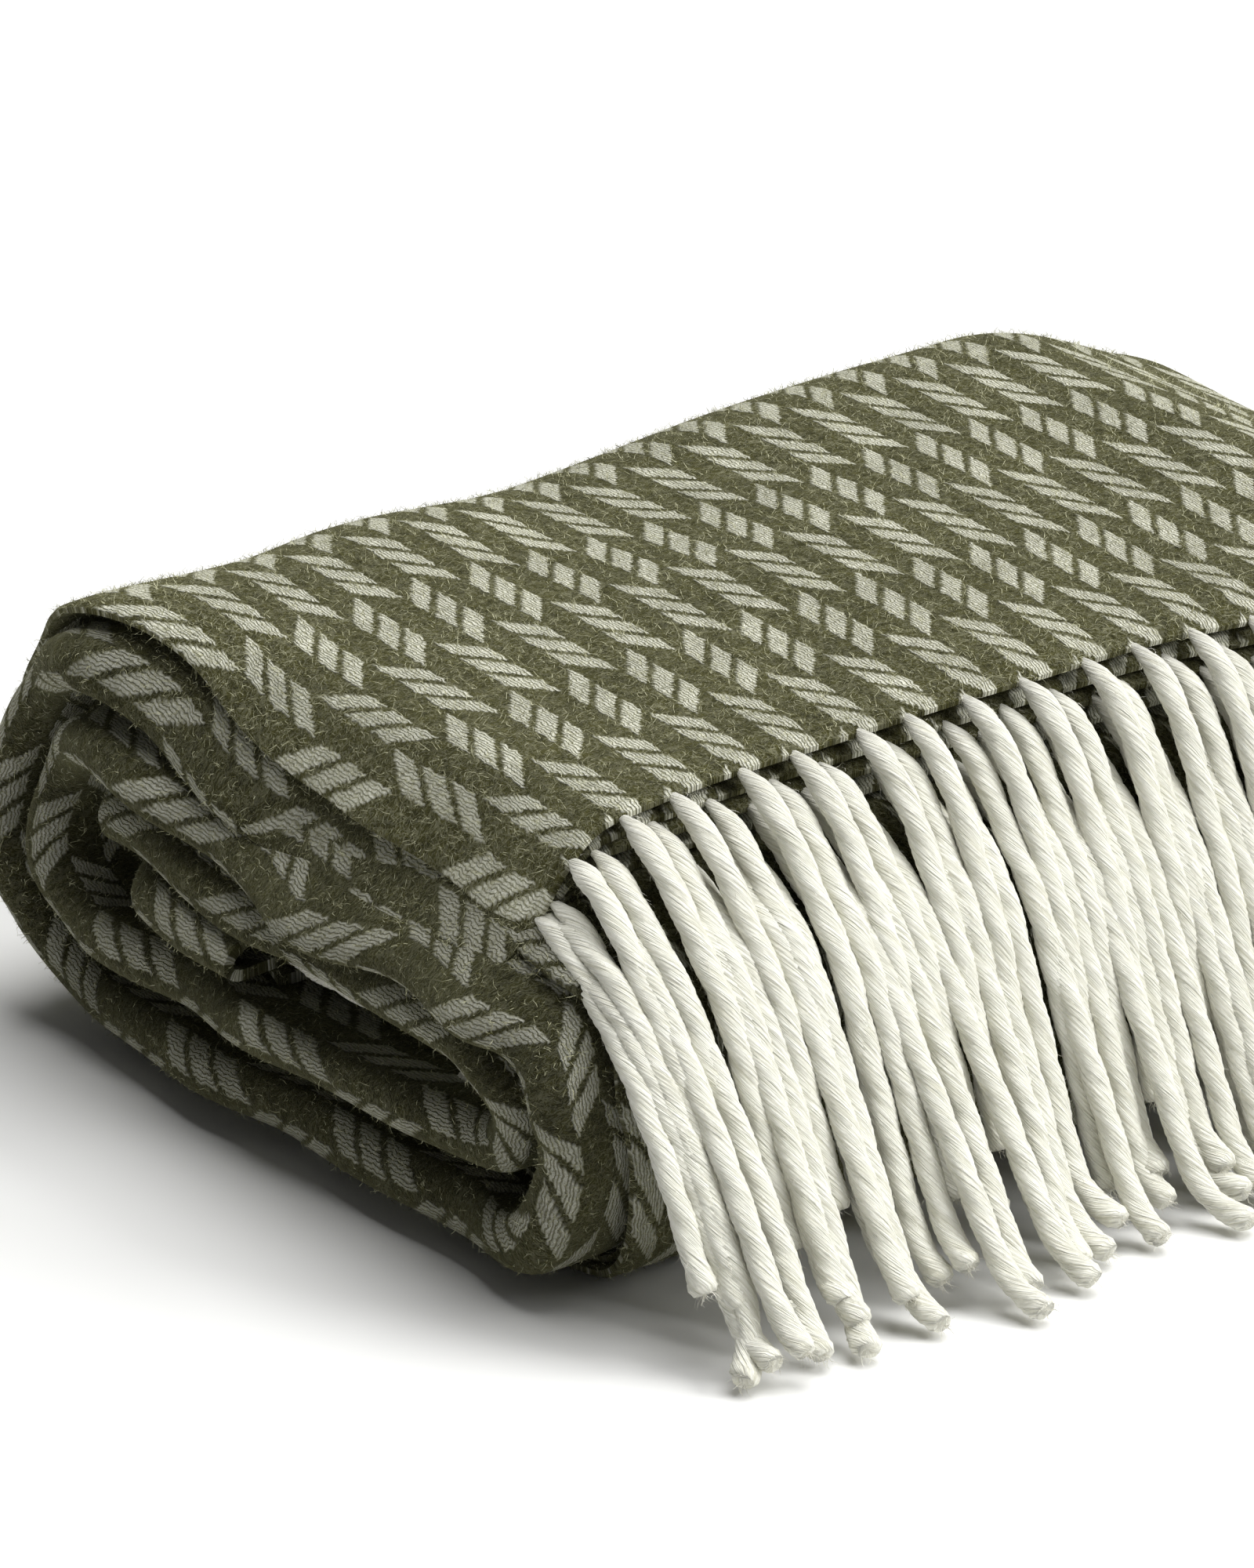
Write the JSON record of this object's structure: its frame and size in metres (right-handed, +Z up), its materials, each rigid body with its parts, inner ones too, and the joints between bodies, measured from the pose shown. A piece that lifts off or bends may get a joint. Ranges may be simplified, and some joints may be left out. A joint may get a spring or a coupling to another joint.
{
  "type": "folded throw blanket",
  "caption": "Herringbone wool throw, folded and rolled flat into a soft stack, with a cream twisted fringe over its front; its top layer lifts.",
  "frame": {"origin": "middle of the flat face that the roll rests on, without the fringe", "axes": "+X along the roll, -Y the front that the fringe hangs over, +Z up"},
  "size_m": [0.3329, 0.302, 0.114],
  "materials": {
    "green_wool": "brushed wool, olive green with white herringbone",
    "cream_yarn": "soft two-ply twisted wool yarn"
  },
  "bodies": {
    "root": {"bottom_panel": "green_wool", "back_turn": "green_wool", "front_turn": "green_wool", "second_turn_top": "green_wool", "second_turn_back": "green_wool", "second_turn_bottom": "green_wool", "second_turn_front": "green_wool", "core_top": "green_wool", "core_fold": "green_wool", "core_bottom": "green_wool", "inner_fringe": "cream_yarn"},
    "flap": {"top_flap": "green_wool"},
    "fringe": {"upper_tassel_01": "cream_yarn", "upper_tassel_02": "cream_yarn", "upper_tassel_03": "cream_yarn", "upper_tassel_04": "cream_yarn", "upper_tassel_05": "cream_yarn", "upper_tassel_06": "cream_yarn", "upper_tassel_07": "cream_yarn", "upper_tassel_08": "cream_yarn", "upper_tassel_09": "cream_yarn", "upper_tassel_10": "cream_yarn", "upper_tassel_11": "cream_yarn", "upper_tassel_12": "cream_yarn", "upper_tassel_13": "cream_yarn", "upper_tassel_14": "cream_yarn", "upper_tassel_15": "cream_yarn", "upper_tassel_16": "cream_yarn", "upper_tassel_17": "cream_yarn", "upper_tassel_18": "cream_yarn", "upper_tassel_19": "cream_yarn", "upper_tassel_20": "cream_yarn", "lower_tassel_01": "cream_yarn", "lower_tassel_02": "cream_yarn", "lower_tassel_03": "cream_yarn", "lower_tassel_04": "cream_yarn", "lower_tassel_05": "cream_yarn", "lower_tassel_06": "cream_yarn", "lower_tassel_07": "cream_yarn", "lower_tassel_08": "cream_yarn", "lower_tassel_09": "cream_yarn", "lower_tassel_10": "cream_yarn", "lower_tassel_11": "cream_yarn", "lower_tassel_12": "cream_yarn", "lower_tassel_13": "cream_yarn", "lower_tassel_14": "cream_yarn", "lower_tassel_15": "cream_yarn", "lower_tassel_16": "cream_yarn", "lower_tassel_17": "cream_yarn", "lower_tassel_18": "cream_yarn", "lower_tassel_19": "cream_yarn", "lower_tassel_20": "cream_yarn"}
  },
  "joints": [
    {"name": "top_flap_lift", "type": "hinge", "parent": "root", "child": "flap", "pos_m": [0, 0.06615, 0.1137], "axis": [-1, 0, 0], "range_deg": [0, 90]},
    {"name": "fringe_hang", "type": "hinge", "parent": "flap", "child": "fringe", "pos_m": [0, -0.0905, 0.08977], "axis": [-0.9989, 0.0472, 0], "range_deg": [-90, 0]}
  ],
  "couplings": [
    {"joint": "fringe_hang", "follows": "top_flap_lift", "ratio": -1}
  ]
}
